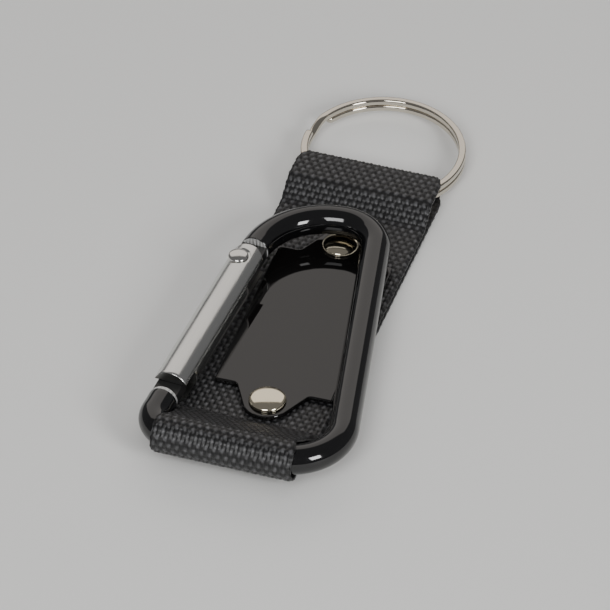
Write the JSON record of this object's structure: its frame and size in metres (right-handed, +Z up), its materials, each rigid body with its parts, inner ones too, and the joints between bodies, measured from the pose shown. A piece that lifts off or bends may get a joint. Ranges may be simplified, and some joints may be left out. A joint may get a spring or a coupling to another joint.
{
  "type": "carabiner keyring",
  "caption": "Webbing key strap with a sprung-gate carabiner in one folded end, a split ring in the other and a riveted blank plate between.",
  "frame": {"origin": "on the strap's flat underside, below the middle of the plate", "axes": "+Y along the strap towards the split ring, +X across the strap to the carabiner's plain side, +Z up out of the plate"},
  "size_m": [0.0357, 0.1028, 0.0105],
  "materials": {
    "webbing": "plain-woven nylon",
    "plate_lacquer": "gloss",
    "rivet_nickel": "polished nickel",
    "rod_black": "gloss black coating on aluminium",
    "gate_aluminium": "satin",
    "pin_steel": "polished",
    "spring_steel": "drawn wire",
    "plunger_steel": "satin",
    "ring_nickel": "polished nickel"
  },
  "bodies": {
    "strap": {"strap": "webbing", "name_plate": "plate_lacquer", "rivet_bar_end": "rivet_nickel", "rivet_ring_end": "rivet_nickel", "rivet_cap_bar_end": "rivet_nickel", "rivet_cap_ring_end": "rivet_nickel"},
    "carabiner": {"carabiner_body": "rod_black", "gate_pin": "pin_steel"},
    "gate": {"gate": "gate_aluminium", "gate_spring": "spring_steel"},
    "plunger": {"gate_plunger": "plunger_steel"},
    "ring_loop": {"strap_ring_loop": "webbing"},
    "ring": {"split_ring": "ring_nickel"}
  },
  "joints": [
    {"name": "carabiner_swing", "type": "hinge", "parent": "strap", "child": "carabiner", "pos_m": [0, -0.0368, 0.0061], "axis": [1, 0, 0], "range_deg": [0, 182]},
    {"name": "gate_open", "type": "hinge", "parent": "carabiner", "child": "gate", "pos_m": [-0.01205, 0.0055, 0.0067], "axis": [0, -0.0143, 0.9999], "range_deg": [0, 16], "stiffness_Nm_per_rad": 0.05, "springref_deg": -17.19},
    {"name": "plunger_slide", "type": "slide", "parent": "gate", "child": "plunger", "axis": [-0.0558, -0.9983, -0.0142], "range_m": [0, 0.00075], "deforming": ["gate_spring"]},
    {"name": "ring_loop_flex", "type": "hinge", "parent": "strap", "child": "ring_loop", "pos_m": [0, 0.02865, 0.0012], "axis": [1, 0, 0], "range_deg": [0, 75]},
    {"name": "ring_spin", "type": "hinge", "parent": "ring_loop", "child": "ring", "pos_m": [0, 0.0473, 0.0026], "axis": [0, 0, 1], "continuous": true}
  ],
  "couplings": [
    {"joint": "plunger_slide", "follows": "gate_open", "m_per_rad": 0.0025}
  ]
}
